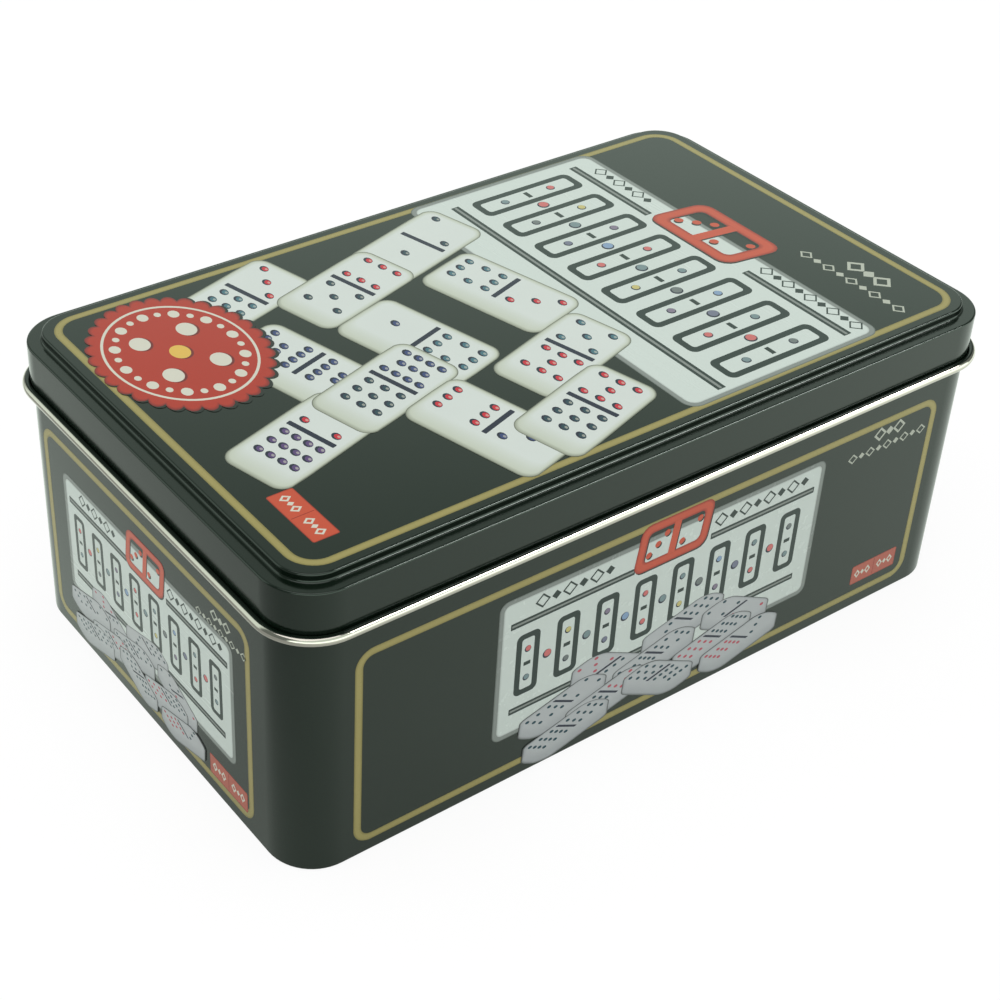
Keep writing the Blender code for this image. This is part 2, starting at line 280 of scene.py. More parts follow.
# Sheet metal
def drawn(start, heading, moves, facet=9.0, hold=0.08):
    """Middle line of a formed sheet. A run goes straight on, with a point close to each end that
    keeps its middle flat; a bend turns along an arc of the given radius, in steps of one facet."""
    points, direction = [np.array(start, float)], math.radians(heading)
    for move in moves:
        along = np.array([math.cos(direction), math.sin(direction)])
        if move[0] == "run":
            grip = min(hold, move[1] / 3)
            points += [points[-1] + reach * along for reach in (grip, move[1] - grip, move[1])]
            continue
        radius, turn = move[1], math.radians(move[2])
        side = math.copysign(1, turn)
        normal = side * np.array([-along[1], along[0]])
        steps = max(3, round(abs(move[2]) / facet))
        angles = np.linspace(0, abs(turn), steps + 1)[1:, None]
        arc = points[-1] + radius * (np.sin(angles) * along + (1 - np.cos(angles)) * normal)
        points += list(arc)
        direction += turn
    return np.array(points)


def shifted(path, distance):
    """The path moved to its left, mitred at each point: p + d (n1 + n2) / (1 + n1.n2)."""
    along = np.diff(path, axis=0)
    along /= np.linalg.norm(along, axis=1, keepdims=True)
    normal = np.column_stack([-along[:, 1], along[:, 0]])
    before, after = np.vstack([normal[:1], normal]), np.vstack([normal, normal[-1:]])
    mitre = before + after
    return path + distance * mitre / np.sum(mitre * before, axis=1, keepdims=True)


def plan(steps=14, hold=0.5, back=()):
    """Points and outward normals round the body: four quarter circles of the corner radius, with a
    point just beyond both ends of each that keeps the straight walls flat, and further points on
    the back wall at the given x."""
    bases, normals = [], []
    for quarter, (sx, sy) in enumerate(((1, 1), (-1, 1), (-1, -1), (1, -1))):
        angle = np.linspace(0, math.pi / 2, steps + 1) + quarter * math.pi / 2
        normal = np.stack([np.cos(angle), np.sin(angle)], axis=1)
        arc = np.array([sx * (HALF_X - CORNER), sy * (HALF_Y - CORNER)]) + CORNER * normal
        first = arc[:1] - hold * np.array([[-normal[0, 1], normal[0, 0]]])
        last = arc[-1:] + hold * np.array([[-normal[-1, 1], normal[-1, 0]]])
        bases += [first, arc, last]
        normals += [normal[:1], normal, normal[-1:]]
        if quarter == 0 and len(back):
            bases.append(np.column_stack([back, np.full(len(back), HALF_Y)]))
            normals.append(np.tile([0.0, 1.0], (len(back), 1)))
    return np.concatenate(bases), np.concatenate(normals)


def carried(section, base, normal):
    """A section of (out, height) points carried round the plan: base + out * normal, at height."""
    flat = base[None] + section[:, None, :1] * normal[None]
    height = np.broadcast_to(section[:, None, 1:], (*flat.shape[:2], 1))
    return np.concatenate([flat, height], axis=2)


def grid_faces(rows, columns, wrap_rows, wrap_columns, first=0):
    """Corner numbers of the four-sided faces of a grid of points that may close on itself."""
    r = np.arange(rows if wrap_rows else rows - 1)[:, None]
    c = np.arange(columns if wrap_columns else columns - 1)[None]
    r2, c2 = (r + 1) % rows, (c + 1) % columns
    quads = [r * columns + c, r * columns + c2, r2 * columns + c2, r2 * columns + c]
    return first + np.stack(quads, axis=-1).reshape(-1, 4)


def capped_faces(rows, columns):
    """Faces of a grid that closes round, with one face over its first row and one over its last."""
    faces = grid_faces(rows, columns, False, True).tolist()
    last = (rows - 1) * columns
    return faces + [list(range(columns))[::-1], list(range(last, last + columns))]


def made_piece(name, points, faces, materials, body, indices=None, colours=None, sharp=32,
               stands_for=()):
    """Turn points in millimetres and faces into a piece that rides on a body, facing outwards."""
    mesh = bpy.data.meshes.new(name)
    mesh.from_pydata((np.asarray(points) * MILLIMETRE).tolist(), [],
                     [list(map(int, face)) for face in faces])
    for material in materials:
        mesh.materials.append(material)
    if indices is not None:
        mesh.polygons.foreach_set("material_index", np.asarray(indices, dtype=np.int32))
    if colours is not None:
        tone = mesh.attributes.new("ink", "FLOAT_COLOR", "POINT")
        tone.data.foreach_set("color", np.asarray(colours, dtype=np.float32).ravel())
    if enclosed(mesh) < 0:
        mesh.flip_normals()
    mesh.update()
    mesh.shade_smooth()
    mesh.set_sharp_from_angle(angle=math.radians(sharp))
    piece = bpy.data.objects.new(name, mesh)
    bpy.context.scene.collection.objects.link(piece)
    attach(piece, body)
    if stands_for:
        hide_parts(*stands_for)
    return piece


def enclosed(mesh):
    """Volume inside a closed mesh: the sum of a . (b x c) / 6 over its triangles."""
    mesh.calc_loop_triangles()
    corners = np.empty(len(mesh.loop_triangles) * 3, dtype=np.int32)
    mesh.loop_triangles.foreach_get("vertices", corners)
    points = np.empty(len(mesh.vertices) * 3, dtype=np.float32)
    mesh.vertices.foreach_get("co", points)
    a, b, c = points.reshape(-1, 3)[corners].astype(float).reshape(-1, 3, 3).transpose(1, 0, 2)
    return float(np.sum(a * np.cross(b, c))) / 6


def lid():
    """Lid: panel, step, ledge, skirt and open curl, one sheet carried round the plan and capped by
    the panel. Lacquered outside and bare inside, so the curl shows bare metal, apart from a few
    facets at its free edge. These take the black lacquer as painted shade for the dark gap
    between curl and skirt."""
    top, reach = LID_TOP - PRINT_ROOM, 5
    shoulder, curl = SHOULDER_BEND - SHEET / 2, LID_CURL - SHEET / 2
    edge, foot = EDGE_BEND - SHEET / 2, FOOT_BEND + SHEET / 2
    skirt, riser = SKIRT_OUT + SHEET / 2, -PANEL_IN - SHEET / 2
    path = drawn((riser - reach, top - SHEET / 2), 0, [
        ("run", reach - edge), ("bend", edge, -90),
        ("run", top - LEDGE - edge - foot), ("bend", foot, 90),
        ("run", skirt - riser - foot - shoulder), ("bend", shoulder, -90),
        ("run", SKIRT_DEPTH - LID_CURL - shoulder - SHEET / 2), ("bend", curl, CURL_TURN)])
    over, under = shifted(path, SHEET / 2), shifted(path, -SHEET / 2)[::-1]
    surface = carried(np.vstack([over, under]), *plan())
    rows, columns = surface.shape[:2]
    # The last few facets of the curl keep the black lacquer as painted shade in the gap under the
    # skirt
    bare = np.repeat(np.arange(rows - 1) >= len(over) + SHADE_LACQUERED_FACETS, columns)
    return made_piece("lid_shell", surface.reshape(-1, 3), capped_faces(rows, columns),
                      [LACQUER, TINPLATE], "lid_body",
                      np.concatenate([bare, [False, True]]), stands_for=["lid"])


def body():
    """Tin body: hem, wall and inward rim curl carried round the plan. At the back the lock seam
    shows as a fold inside, 4 mm wide and 0.5 mm thick, and as a fine groove outside."""
    bend, curl = HEM_BEND - SHEET / 2, RIM_CURL - SHEET / 2
    fold_low, fold_high = BOTTOM_LEVEL + SEAT, BODY_TOP - 2 * RIM_CURL - SEAT
    path = drawn((-HEM_WIDTH + SHEET / 2, HEM_HEIGHT), -90, [
        ("run", HEM_HEIGHT - SHEET / 2 - bend), ("bend", bend, 90),
        ("run", HEM_WIDTH - SHEET - 2 * bend), ("bend", bend, 90),
        ("run", fold_low - SEAM_RAMP - bend - SHEET / 2), ("run", fold_high + SEAM_RAMP - fold_low),
        ("run", BODY_TOP - RIM_CURL - fold_high), ("bend", curl, CURL_TURN)])
    inside, outside = shifted(path, SHEET / 2), shifted(path, -SHEET / 2)[::-1]
    fold_edge, groove_edge = SEAM_HALF - SEAM_RAMP, GROOVE_WIDTH - SEAM_HALF
    folds = [SEAM_HALF, fold_edge, groove_edge + SEAM_RAMP, groove_edge, -fold_edge, -SEAM_HALF]
    back = [SEAM_HALF + 0.3, *folds, -SEAM_HALF - 0.3]
    surface = carried(np.vstack([inside, outside]), *plan(back=back))
    rows, columns = surface.shape[:2]
    x, y, z = surface[..., 0], surface[..., 1], surface[..., 2]
    at_back, inner = y > HALF_Y - 1, (np.arange(rows) < len(inside))[:, None]
    rise = [0, 1, 1, 0]
    tall = np.interp(z, [fold_low - SEAM_RAMP, fold_low, fold_high, fold_high + SEAM_RAMP], rise)
    fold = np.interp(x, [-SEAM_HALF, -fold_edge, fold_edge, SEAM_HALF], rise) * tall * SEAM_FOLD
    groove = np.interp(x, [-SEAM_HALF, -fold_edge, groove_edge, groove_edge + SEAM_RAMP], rise)
    y -= np.where(at_back, np.where(inner, fold, groove * tall * GROOVE_DEPTH), 0)
    bare = np.repeat(np.arange(rows) < len(inside) - 1, columns)
    return made_piece("tin_wall", surface.reshape(-1, 3), grid_faces(rows, columns, True, True),
                      [LACQUER, TINPLATE], "tin", bare, stands_for=["tin_body"])


def base_panel():
    """Tin bottom: flange, panel and a raised stiffening bead, carried round the plan."""
    bend, middle = BOTTOM_BEND - SHEET / 2, BOTTOM_LEVEL - SHEET / 2
    path = drawn((-SHEET - SEAT - SHEET / 2, middle - BOTTOM_FLANGE), 90, [
        ("run", BOTTOM_FLANGE - bend), ("bend", bend, 90), ("run", BEAD_IN),
        ("bend", BEAD_BEND, BEAD_TURN), ("bend", BEAD_BEND, -2 * BEAD_TURN),
        ("bend", BEAD_BEND, BEAD_TURN), ("run", BEAD_OUT)])
    under, over = shifted(path, SHEET / 2)[::-1], shifted(path, -SHEET / 2)
    surface = carried(np.vstack([under, over]), *plan())
    return made_piece("base_panel", surface.reshape(-1, 3), capped_faces(*surface.shape[:2]),
                      [DULL_TINPLATE], "tin", stands_for=["tin_bottom"])


# Print. Levels are the height of an ink's surface over the lacquer, in millimetres; on the lid
# only a share of it, so that all ink stays in the print's room. LINE_HALF is half a gold line.
UNDER = -0.02
ON_LACQUER, OVER_LINE = 0.012, 0.016
RIM_LEVEL, FIELD_LEVEL, RULE_LEVEL, CORE_LEVEL = 0.020, 0.026, 0.032, 0.036
ON_PLATE, OVER_PLATE = 0.034, 0.046
TILES_ON_LID, TILES_ON_SIDE, TILE_STEP = 0.045, 0.050, 0.018
SEAL_LEVEL = 0.262
LID_SHARE = 0.4
LINE_HALF = 0.93

SIDES = {
    "top": lambda a, b, h: (a, b, LID_TOP - PRINT_ROOM + LID_SHARE * h),
    "front": lambda a, b, h: (a, -HALF_Y - h, b),
    "back": lambda a, b, h: (-a, HALF_Y + h, b),
    "left": lambda a, b, h: (-HALF_X - h, -a, b),
    "right": lambda a, b, h: (HALF_X + h, a, b),
}
READING, LID_READING = (1, 0), (0, -1)

GOLD_TONE, GOLD_EDGE = ink(162, 153, 104), ink(134, 127, 86)
WHITE_TONE = ink(205, 213, 207)
CREAM_TONE, CREAM_EDGE = ink(190, 198, 182), ink(150, 156, 140)
PLATE_TONE, PLATE_EDGE = ink(200, 211, 204), ink(176, 185, 179)
RIM_TONE, RIM_EDGE = ink(136, 143, 138), ink(98, 105, 100)
DARK_TONE = ink(66, 74, 72)
SHADOW_TONE = ink(62, 66, 62)
RED_TONE, RED_EDGE = ink(193, 93, 75), ink(150, 70, 56)
DULL_RED = ink(177, 101, 88)
SEAL_TONE, SEAL_EDGE = ink(172, 72, 56), ink(118, 54, 42)
PALE_TONE, MARK_TONE = ink(205, 205, 190), ink(178, 184, 170)
SEAL_PIP = ink(216, 182, 96)
LID_SHADE = WHITE_TONE, CREAM_TONE, CREAM_EDGE
HEAP_SHADE = ink(178, 183, 183), ink(166, 171, 172), ink(116, 120, 119)
PIP_TONES = {
    "red": ink(196, 62, 74), "teal": ink(82, 118, 128), "navy": ink(74, 84, 122),
    "slate": ink(66, 84, 92), "plum": ink(100, 84, 122), "blue": ink(104, 144, 186),
    "ochre": ink(190, 180, 96), "rose": ink(176, 96, 106),
}
PIP_DARK = ink(62, 66, 78)


def blend(first, second, share):
    """Colour between two colours: the given share of the second."""
    return tuple((1 - share) * a + share * b for a, b in zip(first, second))


def rounded(half_a, half_b, radius, middle=(0, 0), steps=6):
    """Rounded rectangle about a middle: four quarter circles, each in equal steps."""
    parts = []
    for quarter, (sa, sb) in enumerate(((1, 1), (-1, 1), (-1, -1), (1, -1))):
        angle = np.linspace(0, math.pi / 2, steps + 1) + quarter * math.pi / 2
        parts.append(np.array([sa * (half_a - radius), sb * (half_b - radius)])
                     + radius * np.stack([np.cos(angle), np.sin(angle)], axis=1))
    return np.concatenate(parts) + middle


def disc(middle, radius, steps=16, squash=None):
    """Circle about a middle, or the ellipse that a 2 x 2 matrix makes of it."""
    angle = np.arange(steps) * 2 * math.pi / steps
    circle = radius * np.stack([np.cos(angle), np.sin(angle)], axis=1)
    return (circle if squash is None else circle @ np.asarray(squash).T) + middle


def drawn_in(outline, distance):
    """A closed outline moved inwards by a distance, along the mean of the two edge normals."""
    ahead, behind = np.roll(outline, -1, axis=0) - outline, outline - np.roll(outline, 1, axis=0)
    flat = [np.column_stack([-edge[:, 1], edge[:, 0]]) / np.linalg.norm(edge, axis=1, keepdims=True)
            for edge in (ahead, behind)]
    inward = flat[0] + flat[1]
    return outline + distance * inward / np.linalg.norm(inward, axis=1, keepdims=True)


class Print:
    """Ink shapes on one side of the tin, each a closed slab that begins just under the lacquer."""

    def __init__(self, side, body):
        self.side, self.body = SIDES[side], body
        self.points, self.faces, self.colours, self.count = [], [], [], 0

    def add(self, flat, high, tones, faces):
        """Take in the points of a slab, with their heights and colours, and its faces."""
        self.points.append(np.column_stack(self.side(flat[:, 0], flat[:, 1], high)))
        self.colours.append(np.vstack(tones))
        self.faces += faces
        self.count += len(flat)

    def stack(self, rings, heights, colours, middle=None):
        """Slab of rings at rising heights, closed by its lowest ring and by a middle point."""
        rings = [np.asarray(ring, float) for ring in rings]
        size = len(rings[0])
        middle = rings[-1].mean(axis=0) if middle is None else np.asarray(middle, float)
        high = np.concatenate([np.full(size, h) for h in heights] + [heights[-1:]])
        tones = [np.tile(colour, (size, 1)) for colour in colours] + [colours[-1]]
        first, last = self.count, self.count + (len(rings) - 1) * size
        i, tip = np.arange(size), np.full(size, last + size)
        faces = grid_faces(len(rings), size, False, True, first).tolist()
        faces += np.column_stack([last + i, last + (i + 1) % size, tip]).tolist()
        faces.append(list(range(first, first + size))[::-1])
        self.add(np.vstack(rings + [middle[None]]), high, tones, faces)

    def fill(self, outline, level, tone, edge=None, soft=0.0):
        """Filled outline. An edge of its own tone goes over to the tone across the soft width."""
        if edge is None:
            self.stack([outline, outline], [UNDER, level], [tone, tone])
        else:
            rings = [outline, outline, drawn_in(outline, soft)]
            self.stack(rings, [UNDER, level, level], [edge, edge, tone])

    def band(self, outer, inner, level, tone, edge=None):
        """Ring of ink between two outlines of as many points, darker at its two edges."""
        edge = tone if edge is None else edge
        margin = (inner - outer) * 0.28
        rings = [outer, outer + margin, inner - margin, inner]
        size = len(outer)
        high = np.repeat([level] * 4 + [UNDER] * 4, size)
        tones = [np.tile(colour, (size, 1)) for colour in (edge, tone, tone, edge) * 2]
        self.add(np.vstack(rings + rings[::-1]), high, tones,
                 grid_faces(8, size, True, True, self.count).tolist())

    def piece(self, name, material):
        return made_piece(name, np.vstack(self.points), self.faces, [material], self.body,
                          colours=np.vstack(self.colours), sharp=25)


def pip_places(value):
    """Places of a half's pips in a square from -1 to 1: three lines, of which the outer two share
    what the middle one doesn't hold, and twelve is three lines of four."""
    outer = (0, 0, 1, 1, 2, 2, 3, 3, 3, 3, 4, 4, 4)[value]
    pitch = 0.74 if outer == 4 else 1
    spots = []
    for line, count in ((-1, outer), (0, value - 2 * outer), (1, outer)):
        if count == 1 and line:
            steps = [line]
        elif count == 2 and outer < 4:
            steps = [-1, 1]
        else:
            steps = [(step - (count - 1) / 2) * pitch for step in range(count)]
        spots += [(line, step) for step in steps]
    return spots


def pictured_tile(sheet, middle, angles, size, values, tones, level, scale, thick, shade, oval,
                  corner=3.6, glint=True):
    """Picture of a tile lying in perspective, its long and its short edges at the given angles. The
    side that shows is the outline moved along the thickness, and its tone goes softly from the dark
    lower edge over cream to the white of the face, which carries a bar and pips. A pip is a dark
    oval with its own tone and a soft glint in it, or, on small tiles, a plain oval."""
    white, cream, edge = shade
    axes = np.array([[math.cos(math.radians(angle)) for angle in angles],
                     [math.sin(math.radians(angle)) for angle in angles]])
    length, width = size
    faces = [rounded(length / 2 - inset * scale, width / 2 - inset * scale,
                     (corner - inset) * scale, steps=7) @ axes.T + middle
             for inset in (-0.16, 0, 0.05, 0.5, 1.0, 1.6, 2.8)]
    ahead = np.roll(faces[1], -1, axis=0) - np.roll(faces[1], 1, axis=0)
    near = (ahead[:, 1] * thick[0] - ahead[:, 0] * thick[1] > 0)[:, None] * np.asarray(thick, float)
    rings = [face + near * reach for face, reach in zip(faces, (1, 1, 1, 0.86, 0.45, 0.12, 0))]
    outline = tuple(0.55 * channel for channel in edge[:3]) + (1,)
    sheet.fill(rings[0], level - 0.002, outline)
    tints = [edge, edge, cream, blend(white, cream, 0.5), white, white]
    sheet.stack(rings[1:], [UNDER] + [level] * 5, tints)
    bar = rounded(0.7 * scale, width * 0.37, 0.2 * scale, steps=2)
    sheet.fill(bar @ axes.T + middle, level + 0.006, PIP_DARK)
    oval = np.array(oval) * scale
    light = oval @ np.array([0.19, -0.2])
    for sign, value, tone in zip((-1, 1), values, tones):
        own = PIP_TONES[tone]
        for line, step in pip_places(value):
            place = np.array([sign * length / 4 + line * length * 0.145, step * width * 0.25])
            spot = axes @ place + middle
            sheet.fill(disc(spot, 1.24, 12, oval), level + 0.006, PIP_DARK if glint else own)
            if glint:
                sheet.fill(disc(spot + light, 0.88, 10, oval), level + 0.009, own)
                sheet.fill(disc(spot + 2.1 * light, 0.42, 8, oval), level + 0.012,
                           blend(own, PALE_TONE, 0.45))


def frame_line(side, body, middle, half_a, half_b, radius):
    """Gold line round one side of the tin."""
    sheet = Print(side, body)
    outer, inner = (rounded(half_a + out, half_b + out, radius + out, middle, 10)
                    for out in (LINE_HALF, -LINE_HALF))
    sheet.band(outer, inner, ON_LACQUER, GOLD_TONE, GOLD_EDGE)
    return sheet.piece(side + "_gold_line", GOLD)


def plate(side, body, middle, half_a, half_b, radius, rules, name):
    """Pale plate: a grey rim that darkens outwards, a silver-white field and dark double rules."""
    sheet = Print(side, body)
    sheet.fill(rounded(half_a, half_b, radius, middle, 8), RIM_LEVEL, RIM_TONE, RIM_EDGE, 0.4)
    sheet.fill(rounded(half_a - 1.25, half_b - 1.25, radius - 0.9, middle, 8), FIELD_LEVEL,
               PLATE_TONE, PLATE_EDGE, 0.45)
    for place, (ha, hb) in rules:
        sheet.fill(rounded(ha, hb, 0.15, place, 2), RULE_LEVEL, DARK_TONE)
        core = (ha - 0.3, hb * 0.30) if ha > hb else (ha * 0.30, hb - 0.3)
        sheet.fill(rounded(*core, 0.1, place, 1), CORE_LEVEL, RIM_TONE)
    return sheet.piece(name, SILVER)


def turned(along, slant=0.0):
    """Matrix that lays a row's own directions along a given one, slanting forwards."""
    across = (-along[1], along[0])
    return np.array([[along[0], across[0] + slant * along[0]],
                     [along[1], across[1] + slant * along[1]]], float)


def row_places(centre, pitch, count, axes):
    """Numbers and places of a row about its centre."""
    return [(step, axes @ np.array([(step - (count - 1) / 2) * pitch, 0]) + centre)
            for step in range(count)]


def upright_tiles(sheet, centre, pitch, count, size, along, level):
    """Row of boldly outlined tiles standing side by side, each with a dividing bar and one coloured
    pip in each half, and a small coloured pip between neighbours."""
    tones = ["red", "blue", "ochre", "teal", "plum", "slate", "red", "navy", "teal"]
    axes = turned(along)
    wide, high, stroke = size
    outer = rounded(wide / 2, high / 2, wide * 0.24, steps=5)
    inner = rounded(wide / 2 - stroke, high / 2 - stroke, wide * 0.24 - stroke * 0.6, steps=5)
    bar = rounded(wide / 2 - stroke * 1.5, stroke * 0.34, 0.1, steps=2)
    for step, middle in row_places(centre, pitch, count, axes):
        sheet.band(outer @ axes.T + middle, inner @ axes.T + middle, level, DARK_TONE)
        sheet.fill(bar @ axes.T + middle, level, DARK_TONE)
        spots = [(0, high * 0.235, wide * 0.14), (0, -high * 0.235, wide * 0.14)]
        spots += [(pitch / 2, 0, wide * 0.19)] * (step < count - 1)
        for number, (a, b, radius) in enumerate(spots):
            own = PIP_TONES[tones[(step * 2 + number * 3) % len(tones)]]
            spot = axes @ np.array([a, b]) + middle
            sheet.fill(disc(spot, radius, 18), level, PIP_DARK)
            sheet.fill(disc(spot + 0.12 * radius, radius * 0.8, 18), level + 0.004,
                       blend(own, PALE_TONE, 0.22))


def small_lozenges(sheet, centre, pitch, count, size, along, level, tone):
    """Row of small lozenges, every other one only outlined."""
    axes = turned(along)
    wide, high, stroke = size
    shape = np.array([[wide / 2, 0], [0, high / 2], [-wide / 2, 0], [0, -high / 2]])
    inner = shape * (1 - 2.6 * stroke / wide)
    for step, middle in row_places(centre, pitch, count, axes):
        if step % 2:
            sheet.fill(shape @ axes.T * 0.62 + middle, level, tone)
        else:
            sheet.band(shape @ axes.T + middle, inner @ axes.T + middle, level, tone)


def red_outline(sheet, centre, along, size, stroke):
    """Stout red outlined tile lying across a plate's upper rim, slanting, with a dividing bar, red
    pips and a dark lower edge."""
    axes = turned(along, 0.14)
    wide, high = size
    outer = rounded(wide / 2, high / 2, high * 0.2, steps=4)
    inner = rounded(wide / 2 - stroke, high / 2 - stroke, high * 0.2 - stroke * 0.5, steps=4)
    shapes = [rounded(stroke * 0.42, high / 2 - stroke * 0.8, 0.2, steps=2)]
    for sign, value in ((-1, 3), (1, 2)):
        middle = sign * (wide / 4 - stroke * 0.2)
        shapes += [disc((middle + line * high * 0.17, step * high * 0.17), high * 0.065, 14)
                   for line, step in pip_places(value)]
    drop = turned(along) @ np.array([0.12, -0.16]) * stroke
    for place, level, tone, edge in (
            (centre + drop, OVER_PLATE, SHADOW_TONE, SHADOW_TONE),
            (centre, OVER_PLATE + 0.006, RED_TONE, RED_EDGE)):
        sheet.band(outer @ axes.T + place, inner @ axes.T + place, level, tone, edge)
        for shape in shapes:
            sheet.fill(shape @ axes.T + place, level + 0.002, tone)


def seal(sheet, centre, radius, petals, level):
    """Round red seal as seen from low down, with a scalloped edge: its radius swells and falls by
    7% once a petal. Inside are a pale ring, a circle of pale studs, and ochre and pale pips."""
    squash = np.array([[0.92, 0], [0, 1.16]])
    angle = np.arange(petals * 8) * 2 * math.pi / (petals * 8)
    wave = radius * (0.93 + 0.07 * np.abs(np.sin(angle * petals / 2)) ** 0.7)
    ray = np.stack([np.cos(angle), np.sin(angle)], axis=1) @ squash
    centre = np.array(centre, float)
    shadow = ray * (wave + 0.3)[:, None] + centre + (0.3, -0.4)
    sheet.stack([shadow] * 2, [UNDER, level], [SHADOW_TONE] * 2, centre)
    edge, inside = (ray * (wave - inset)[:, None] + centre for inset in (0, 1.0))
    sheet.stack([edge, edge, inside], [UNDER, level + 0.004, level + 0.004],
                [SEAL_EDGE, SEAL_EDGE, SEAL_TONE], centre)
    outer, inner = (disc(centre, radius * share, 72, squash) for share in (0.83, 0.80))
    sheet.band(outer, inner, level + 0.010, PALE_TONE)
    for number in range(24):
        place = math.radians(15 * number)
        spot = centre + radius * 0.68 * squash @ np.array([math.cos(place), math.sin(place)])
        stud = radius * (0.04 if number % 2 else 0.065)
        sheet.fill(disc(spot, stud, 14, squash), level + 0.010, PALE_TONE)
    for line, step in pip_places(5):
        spot = centre + squash @ np.array([line, step]) * radius * 0.3
        sheet.fill(disc(spot + (0.35, -0.35), radius * 0.12, 24, squash), level + 0.008, SEAL_EDGE)
        sheet.fill(disc(spot, radius * 0.115, 24, squash), level + 0.012,
                   PALE_TONE if line else SEAL_PIP)


def tag(sheet, centre, half, along, level, tone):
    """Red tag with a thin line across it and a row of pale lozenges on both sides of the line."""
    axes = turned(along)
    wide, high = half
    sheet.fill(rounded(wide, high, 0.5, steps=3) @ axes.T + centre, level, tone, RED_EDGE, 0.35)
    line = rounded(0.1, high * 0.85, 0.02, steps=1)
    sheet.fill(line @ axes.T + centre, level + 0.004, RED_EDGE)
    for sign in (-1, 1):
        small_lozenges(sheet, axes @ np.array([sign * wide * 0.5, 0]) + centre, wide * 0.23, 3,
                       (wide * 0.26, high * 0.9, wide * 0.05), along, level + 0.004, PALE_TONE)


# Tiles pictured on the lid: place, whether crossed, values and pip tones
LID_TILES = [
    (-46.0, 39.5, False, (9, 3), ("teal", "red")),
    (-50.0, 7.5, True, (10, 10), ("navy", "navy")),
    (1.6, 37.4, False, (1, 2), ("slate", "slate")),
    (-23.6, 29.7, False, (5, 6), ("slate", "red")),
    (5.2, 9.6, True, (8, 3), ("teal", "red")),
    (-23.0, 2.4, True, (1, 8), ("navy", "teal")),
    (0.6, -19.0, False, (7, 5), ("red", "teal")),
    (-64.2, -15.2, False, (12, 4), ("plum", "red")),
    (-39.2, -8.6, False, (9, 11), ("slate", "navy")),
    (-29.5, -32.6, True, (6, 3), ("red", "navy")),
    (-9.0, -38.4, False, (9, 7), ("slate", "red")),
]

# Tiles of the heap at the foot of a side: place, whether crossed, and values
HEAP_TILES = [
    (7.0, 12.3, False, (3, 9)), (-14.5, 9.2, True, (5, 6)), (23.5, 7.6, True, (4, 2)),
    (-1.0, 6.2, False, (10, 8)), (-27.0, 5.0, False, (8, 4)), (17.0, 2.4, False, (9, 12)),
    (-14.0, 1.2, False, (6, 7)), (-25.5, -3.0, False, (12, 9)), (1.0, -0.6, True, (9, 11)),
    (26.0, -2.0, False, (11, 3)),
]
HEAP_TONES = [("slate", "slate"), ("rose", "slate"), ("slate", "rose"), ("slate", "slate")]


def lid_print():
    """Print of the lid: its plate reads towards -Y, with tiles in a forked line beside it."""
    frame_line("top", "lid_body", (0, 0), 89.35, 51.54, 6.0)
    plate("top", "lid_body", (35.8, 0.45), 28.6, 51.95, 3.4, [
        ((56.4, 33.4), (1.15, 14.8)), ((57.0, -31.6), (1.15, 16.6)),
        ((18.2, -0.9), (1.15, 48.0))], "lid_plate")
    sheet = Print("top", "lid_body")
    upright_tiles(sheet, (37.6, -0.4), 12.3, 8, (8.2, 30.4, 1.8), LID_READING, ON_PLATE)
    for centre, pitch, count, size, level, tone in (
            ((61.0, 33.4), 3.6, 6, (4.2, 4.2, 0.42), ON_PLATE, DARK_TONE),
            ((61.4, -32.0), 3.6, 9, (4.2, 4.2, 0.42), ON_PLATE, DARK_TONE),
            ((75.0, -31.8), 3.7, 9, (4.0, 3.6, 0.5), ON_LACQUER, MARK_TONE),
            ((80.8, -31.8), 4.2, 3, (5.6, 5.6, 0.85), ON_LACQUER, MARK_TONE)):
        small_lozenges(sheet, centre, pitch, count, size, LID_READING, level, tone)
    tag(sheet, (-80.4, -37.0), (8.6, 3.1), LID_READING, ON_LACQUER, RED_TONE)
    red_outline(sheet, (63.6, 2.8), LID_READING, (28.0, 17.0), 3.4)
    sheet.piece("lid_marks", PRINTED)
    sheet = Print("top", "lid_body")
    for number, (a, b, crossed, values, tones) in enumerate(LID_TILES):
        angles, size = ((-76, 17), (34.5, 14.2)) if crossed else ((17, 104), (27.5, 17.8))
        pictured_tile(sheet, (a, b), angles, size, values, tones, TILES_ON_LID + TILE_STEP * number,
                      0.95, (-4.6, -1.3), LID_SHADE, ((0.86, 0), (0.10, 1.20)))
    sheet.piece("lid_pictured_tiles", PRINTED)
    sheet = Print("top", "lid_body")
    seal(sheet, (-70.8, 26.4), 21.0, 32, SEAL_LEVEL)
    sheet.piece("lid_seal", PRINTED)


def heap(sheet, middle, scale, tiles):
    """Heap of pale tiles lying flat in a low perspective at the foot of a side. Their edges run in
    two directions; a tile is long in the first or, where crossed, in the second."""
    across, up = scale
    for number, (a, b, crossed, values) in enumerate(tiles):
        angles, (long, short) = ((-27, 15), (17.8, 9.6)) if crossed else ((15, 153), (21.0, 8.4))
        pictured_tile(sheet, (middle[0] + a * across, middle[1] + b * up), angles,
                      (long * across, short * across), values, HEAP_TONES[number % 4],
                      TILES_ON_SIDE + TILE_STEP * number, 0.62 * across, (-0.2, -3.1 * up),
                      HEAP_SHADE, ((0.78, 0), (0, 0.52)), 5.6, False)


